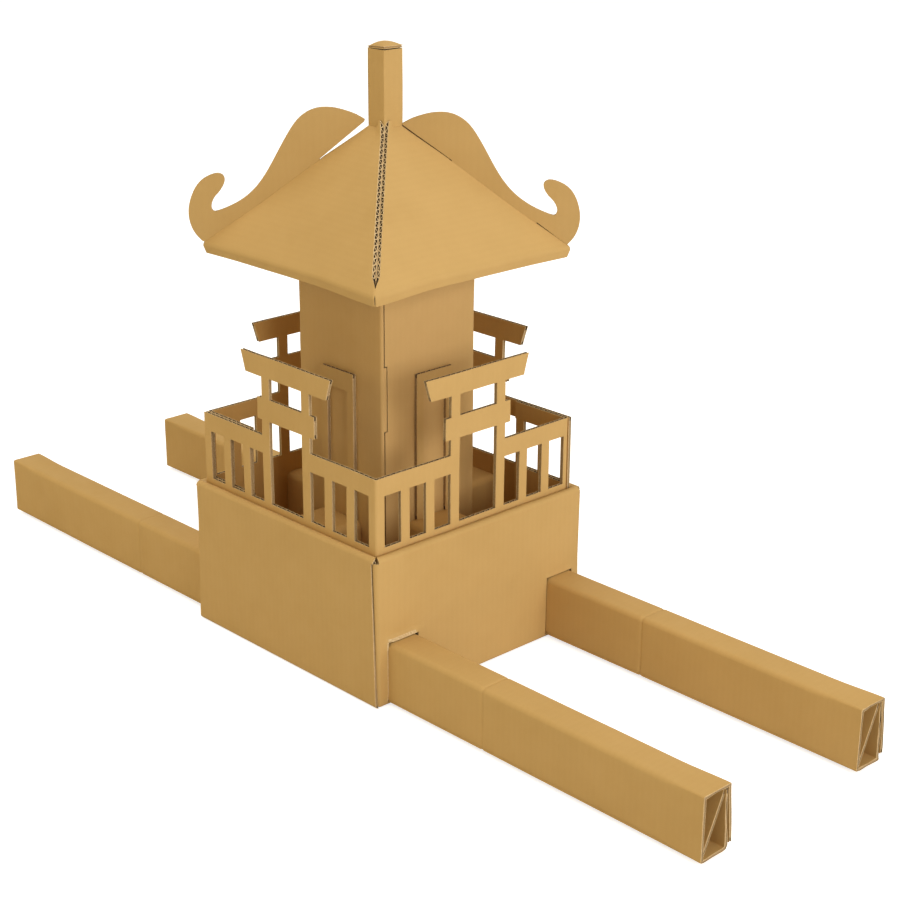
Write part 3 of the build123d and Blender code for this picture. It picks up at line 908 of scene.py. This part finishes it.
def roof_place(column, v, w, extra=0.0):
    """extra is how far a layer stands back from the open ridge."""
    h0 = profile(v, 0)[0]
    h, z = profile(v, w)
    opened = smooth(102.5, 98.5, h0)
    cut = CUT_BACK * opened + SLIT * smooth(11, 8, v)
    side, y = along(column, h0, cut)
    shrink = h0 - h
    t = y / h0
    low_shift = shrink * (1 - opened if side == 0 else 1)
    high_shift = -shrink * (1 - opened if side == 3 else 1)
    y += (1 - t) / 2 * low_shift + (1 + t) / 2 * high_shift
    joint = (side == 0 and t < 0) or (side == 3 and t > 0)
    if joint:
        # the cut faces turn outwards, and the core stands back from them
        step = (extra - BEVEL * w * opened) * smooth(0.3, 0.95, abs(y) / (h0 - cut))
        y += step if side == 0 else -step
    edge_y = abs(y)
    hip = HIP * (1 - opened) if joint else HIP
    hip = min(hip, h * 0.3)
    gap = h - abs(y)
    x = h
    sag = 0.5 * wave(t * 60 + side * 90, 0, z, 45, 2.0) * smooth(0, 14, gap) * smooth(HATCH, HATCH + 20, h0)
    if hip > 0.05 and gap < hip:
        inner = max(0.25, hip - 0.72 * w)
        share = max(0.0, gap) / hip
        angle = math.radians(45) * (1 - share)
        x = h - inner + inner * math.cos(angle)
        y = math.copysign(h - inner + inner * math.sin(angle), y)
    x += sag * 0.7
    z += sag * 0.7
    droop = 0.7 * wave(t * 60, side * 50, 0, 50, 6.0) * smooth(EAVE - 12, EAVE, h0) * smooth(0, 14, gap)
    z += droop
    z -= TOP_SAG * smooth(45, HATCH, h0)
    low = smooth(EAVE * 0.55, EAVE, h0)
    if joint:
        # the open corner hangs a little, and its points stand up against the post
        near = smooth(70, 0, gap)
        z -= 3.2 * low * low * near
        point = smooth(9.0 - 0.9 * w, 6.6 - 0.9 * w, h0 - edge_y)
        point *= smooth(profile.length - 6, profile.length, v)
        z += (6.0 + 0.69 * w) * point
        x += 0.9 * point
    else:
        near = smooth(45, 0, gap) * low * low
        x += 1.9 * near
        y += math.copysign(1.9 * near, y)
    for _ in range(side):
        x, y = -y, x
    return (x, y, z)


def roof_inside(column, v):
    if not SLOT_NEAR < profile(v, 0)[0] < SLOT_FAR:
        return True
    return not any(abs(column - slot) < 3 for slot in (per_side, 3 * per_side))


def roof_uv(column, v):
    side, y = along(column, profile(v, 0)[0], CUT_BACK)
    return (v, y + side * 300)


def level_of(h):
    """Distance along the profile where the slope is h from the middle."""
    return profile.length - (h - HATCH) * math.hypot(1, SLOPE)


roof = Piece("roof_sheet")
columns = list(range(4 * per_side + 1))
eave_lines = corner_lines(profile.starts[1:2], 2.8, 8)
levels = grid([0, profile.length, level_of(SLOT_NEAR), level_of(SLOT_FAR)] + eave_lines, 5)
core_levels = [v for v in levels if v > 0.3]
# the liners' inner faces and the core's cut ends take painted shade
roof.slab(columns, levels, roof_inside, roof_place, 0, LINER, (FACE, PAINTED_SHADE, EDGE), roof_uv)
roof.slab(columns, levels, roof_inside, roof_place, BOARD - LINER, BOARD, (PAINTED_SHADE, INSIDE, EDGE), roof_uv)
roof.slab(columns, core_levels, roof_inside, lambda u, v, w: roof_place(u, v, w, OPEN_DEPTH),
          LINER, BOARD - LINER, (CORE, CORE, PAINTED_SHADE), uv=roof_uv)

# the waves of the core along both edges of the open ridge, in painted shade apart from their front edges
JOINT_LOW, JOINT_STEPS, JOINT_RATE = 98.0, 260, 1.2
joint_from = level_of(JOINT_LOW)
joint_length = profile.length - 0.2 - joint_from
joint_line = [joint_from + joint_length * k / JOINT_STEPS for k in range(JOINT_STEPS + 1)]
for column in (0, 4 * per_side):
    base = len(roof.points)
    for v in joint_line:
        crowded = 7.0 * smooth(profile.length - 7, profile.length, v)
        turn = 2 * math.pi * (v * JOINT_RATE + crowded) / PITCH + (0.9 if column else 0)
        crushed = 1 - 0.45 * smooth(75, 92, profile(v, 0)[0])
        w = BOARD / 2 + (BOARD / 2 - 0.5) * crushed * math.sin(turn)
        thick = 0.3 * (1 + 0.7 * abs(math.cos(turn)))
        for d in (0.1, OPEN_DEPTH + 0.8):
            roof.points += [roof_place(column, v, w - thick, d), roof_place(column, v, w + thick, d)]
    roof.strip(base, len(joint_line), turned_over=column != 0)
roof_kraft = kraft("roof_kraft", tinted(1.0, 1.0, 1.0), 0.5, 12.0)
roof.build("roof", roof_kraft, rail_inner_shaded)


# Curled ridge ornaments
def spline(points, steps=4):
    """A smooth line through points."""
    out = []
    padded = [points[0]] + points + [points[-1]]
    for a, b, c, d in zip(padded, padded[1:], padded[2:], padded[3:]):
        for k in range(steps):
            t = k / steps
            out.append(tuple(
                b[i] + 0.5 * t * (c[i] - a[i] + t * (2 * a[i] - 5 * b[i] + 4 * c[i] - d[i]
                                                     + t * (3 * (b[i] - c[i]) + d[i] - a[i])))
                for i in (0, 1)))
    return out + [points[-1]]


def ridge_height(distance):
    return APEX - SLOPE / math.sqrt(2) * distance


# distance from the post's middle and height, from the tip over the crest and round the curl
CURVE = [
    (17.0, 452.7), (24.5, 456.8), (32.9, 459.8), (41.8, 461.9), (50.3, 462.4), (57.5, 461.4),
    (64.3, 458.6), (70.5, 454.1), (76.0, 447.8), (81.5, 439.3), (87.4, 428.9), (93.6, 417.6),
    (99.8, 407.0), (106.6, 397.4), (114.2, 389.5), (123.1, 383.0), (132.5, 378.2), (140.6, 375.1),
    (144.2, 374.8), (145.9, 377.6), (145.2, 382.0), (142.6, 386.9), (138.3, 391.8), (135.2, 396.9),
    (134.1, 401.6), (135.3, 404.9), (138.4, 406.6), (142.2, 406.4), (147.7, 404.4), (153.4, 400.8),
    (158.3, 395.3), (162.1, 387.6), (164.6, 378.8), (165.0, 370.1), (163.3, 362.0), (159.8, 355.2),
    (154.9, 349.6),
]
# the tab in the ridge's slot, and how far the plate's lower edge is above the ridge line
TAB_START, TAB_END, TAB_DEPTH, LIFT = 54.5, 125.5, 4.2, -0.6
# how far the tip of the left one is raised, and how far the core of the right one shows below its liners as a
# line of painted shade
TIP_RAISED, CORE_DROP = 3.6, 2.6


def ornament_outline(raised, drop=0.0):
    """The left one is raised at its tip, and the right one is pushed in and pressed down."""
    points = CURVE if raised else [(s - 3.6, z - 3.2 * smooth(380, 420, z)) for s, z in CURVE]
    tip, foot = points[0], points[-1]
    points = spline(points)
    slack = 0.0 if raised else 1.6

    def under(s):
        lift = TIP_RAISED * (TAB_START - s) / 37.5 if raised else -1.2 * smooth(TAB_START, 14, s)
        return ridge_height(s) + LIFT - drop + (lift if s < TAB_START else 0)

    points += [(foot[0] - 3.6, under(foot[0] - 3.6) + slack), (TAB_END, under(TAB_END) + slack),
               (TAB_END, ridge_height(TAB_END) - TAB_DEPTH), (TAB_START, ridge_height(TAB_START) - TAB_DEPTH)]
    points += [(s, under(s)) for s in (TAB_START, 45, 35, 25, tip[0] + 0.4)]
    return points[::-1]


def inset_outline(points, distance):
    """The outline, moved inwards."""
    out = []
    for k, p in enumerate(points):
        a, b = points[k - 1], points[(k + 1) % len(points)]
        d1 = math.dist(a, p) or 1
        d2 = math.dist(p, b) or 1
        n1 = (-(p[1] - a[1]) / d1, (p[0] - a[0]) / d1)
        n2 = (-(b[1] - p[1]) / d2, (b[0] - p[0]) / d2)
        n = (n1[0] + n2[0], n1[1] + n2[1])
        size = math.hypot(*n) or 1
        scale = distance / max(0.4, size / 2)
        out.append((p[0] + n[0] / size * scale, p[1] + n[1] / size * scale))
    return out


ornament_kraft = kraft("ornament_kraft", tinted(0.9, 0.9, 0.9), 0.5, 15.0)
half = math.sqrt(0.5)
for name, node, sign in (("ornament_left_plate", "ridge_ornament_left", -1),
                         ("ornament_right_plate", "ridge_ornament_right", 1)):
    plate = Piece(name)
    raised = sign < 0

    def ornament_place(s, z, w, sign=sign):
        above = smooth(-2, 30, z - ridge_height(s))
        depth = (w - BOARD / 2) + 1.1 * wave(s, 0, z, 70, sign * 4.0) * above
        return (sign * (s - depth) * half, sign * (s + depth) * half, z)

    outline = ornament_outline(raised)
    core_outline = inset_outline(ornament_outline(raised, 0.0 if raised else CORE_DROP), 0.3)
    plate.plate(outline, ornament_place, 0, LINER)
    # the core's faces take painted shade, seen as a dark line under the right one
    plate.plate(core_outline, ornament_place, LINER, BOARD - LINER, (PAINTED_SHADE, PAINTED_SHADE, FLUTED))
    plate.plate(outline, ornament_place, BOARD - LINER, BOARD)
    plate.build(node, ornament_kraft)


# Finial
POST, POST_LOW, POST_TOP, LID_HALF = 10.3, 425.0, 511.6, 10.2
# both ends of the strip meet near one corner
post_path = fold([(-8.8, -POST), (POST, -POST), (POST, POST), (-POST, POST), (-POST, -POST), (-9.1, -POST)],
                 1.15)
post = Piece("finial_strip")


def post_place(u, v, w):
    x, y = post_path(u, w)
    v -= 1.0 * smooth(POST_TOP - 3, POST_TOP, v)
    lean = 0.25 * wave(x, y, v, 25, 8.0)
    return (x * (1 + lean / POST), y * (1 + lean / POST), v)


post_lines = [0, post_path.length] + corner_lines(post_path.starts[1:5], 1.1)
post.board(post_lines, [POST_LOW, POST_TOP], 4, 9, whole, post_place)


def lid_place(u, v, w):
    """The lid is domed and a little open at two of its sides."""
    x, y = -u, v
    dome = max(0.0, 1 - (x / POST) ** 2) * max(0.0, 1 - (y / POST) ** 2)
    lifted = 0.55 * smooth(-2, POST, x) + 0.3 * smooth(-2, POST, -y)
    crown = 3.6 * dome ** 0.75
    return (x, y, POST_TOP + 1.1 + crown + lifted - 0.8 * smooth(-4, -POST, x) - w * 0.62)


lid_lines = grid([-LID_HALF, -9.5, -8, 8, 9.5, LID_HALF], 1.6)
post.slab(lid_lines, lid_lines, whole, lid_place, 0, LINER)
post.slab(lid_lines, lid_lines, whole, lid_place, BOARD - LINER, BOARD)
lid_lines = lid_lines[1:-1]
post.slab(lid_lines, lid_lines, whole, lid_place, LINER, BOARD - LINER, (CORE, CORE, CORE))
finial_kraft = kraft("finial_kraft", tinted(1.0, 1.0, 1.0), 0.5, 17.0)
post.build("finial_post", finial_kraft)


# Camera, light and floor
AZIMUTH, ELEVATION, ROLL = math.radians(46.40), math.radians(20.30), math.radians(0.343)
EYE = Vector((1153.5, -1023.3, 734.3)) * MM
# focal length in pixels of the 900 x 900 photograph, and the camera's sensor
FOCAL_PIXELS, PHOTO_WIDTH, SENSOR = 1883.77, 900, 36.0
right = Vector((math.cos(AZIMUTH), math.sin(AZIMUTH), 0))
back = Vector((math.sin(AZIMUTH) * math.cos(ELEVATION), -math.cos(AZIMUTH) * math.cos(ELEVATION),
               math.sin(ELEVATION)))
up = back.cross(right)
rolled_right = math.cos(ROLL) * right + math.sin(ROLL) * up
rolled_up = -math.sin(ROLL) * right + math.cos(ROLL) * up
camera_data = bpy.data.cameras.new("camera")
camera_data.sensor_width = SENSOR
camera_data.lens = FOCAL_PIXELS / PHOTO_WIDTH * SENSOR
camera_data.clip_start, camera_data.clip_end = 0.05, 60
camera = new_object("camera", camera_data)
columns = (rolled_right, rolled_up, back, EYE)
camera.matrix_world = Matrix([[column[k] for column in columns] for k in range(3)] + [[0, 0, 0, 1]])
bpy.context.scene.camera = camera


LIT_POINT = Vector((0, 0, 0.2))


def area_light(name, position, size, power, colour):
    data = bpy.data.lights.new(name, "AREA")
    data.shape = "RECTANGLE"
    data.size, data.size_y = size
    data.energy = power
    data.color = colour
    obj = new_object(name, data)
    obj.location = position
    obj.rotation_mode = "QUATERNION"
    obj.rotation_quaternion = (LIT_POINT - Vector(position)).to_track_quat("-Z", "Y")


area_light("key", (3.0, -0.2, 1.1), (1.8, 1.8), 53, (1.0, 1.0, 1.0))
area_light("top", (-0.4, -0.4, 3.2), (2.2, 2.2), 37, (1.0, 1.0, 0.99))
area_light("fill", (-1.4, -3.0, 1.4), (2.4, 2.0), 19, (1.0, 0.84, 0.42))
area_light("rear", (-2.4, 2.4, 2.0), (2.4, 2.0), 18, (1.0, 0.95, 0.85))

# the camera sees a white background, and the object gets a dimmer, warmer light from it
world = bpy.data.worlds.new("world")
bpy.context.scene.world = world
world.use_nodes = True
tree = world.node_tree
tree.nodes.clear()
soft = put(add(tree, "ShaderNodeBackground"), Strength=0.42, Color=(1.0, 0.93, 0.73, 1))
white = put(add(tree, "ShaderNodeBackground"), Strength=1.0, Color=(1, 1, 1, 1))
finish_tree(tree, camera_sees(tree, white, soft), "World")

floor_mesh = bpy.data.meshes.new("floor")
FAR = 20
floor_mesh.from_pydata([(-FAR, -FAR, 0), (FAR, -FAR, 0), (FAR, FAR, 0), (-FAR, FAR, 0)], [], [(0, 1, 2, 3)])
floor = new_object("floor", floor_mesh)
floor_material, tree = new_material("floor")
# the camera sees a glowing floor that keeps the shadow, and other rays see a plain pale one
glowing = add(tree, "ShaderNodeAddShader")
glow = put(add(tree, "ShaderNodeEmission"), Strength=0.74, Color=(1, 1, 1, 1))
shade = put(add(tree, "ShaderNodeBsdfDiffuse"), Color=(0.7, 0.71, 0.73, 1))
bounce = put(add(tree, "ShaderNodeBsdfDiffuse"), Color=(0.75, 0.74, 0.72, 1))
tree.links.new(glow.outputs[0], glowing.inputs[0])
tree.links.new(shade.outputs[0], glowing.inputs[1])
finish_tree(tree, camera_sees(tree, glowing, bounce))
floor_mesh.materials.append(floor_material)

bpy.context.scene.view_settings.view_transform = "Standard"

# the CAD node that stays in view, the deck, takes a board material too
plain_kraft = kraft("plain_kraft", tinted(1.0, 1.0, 1.0), 0.5, 7.7)
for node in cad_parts.values():
    node.data.materials.clear()
    node.data.materials.append(plain_kraft)
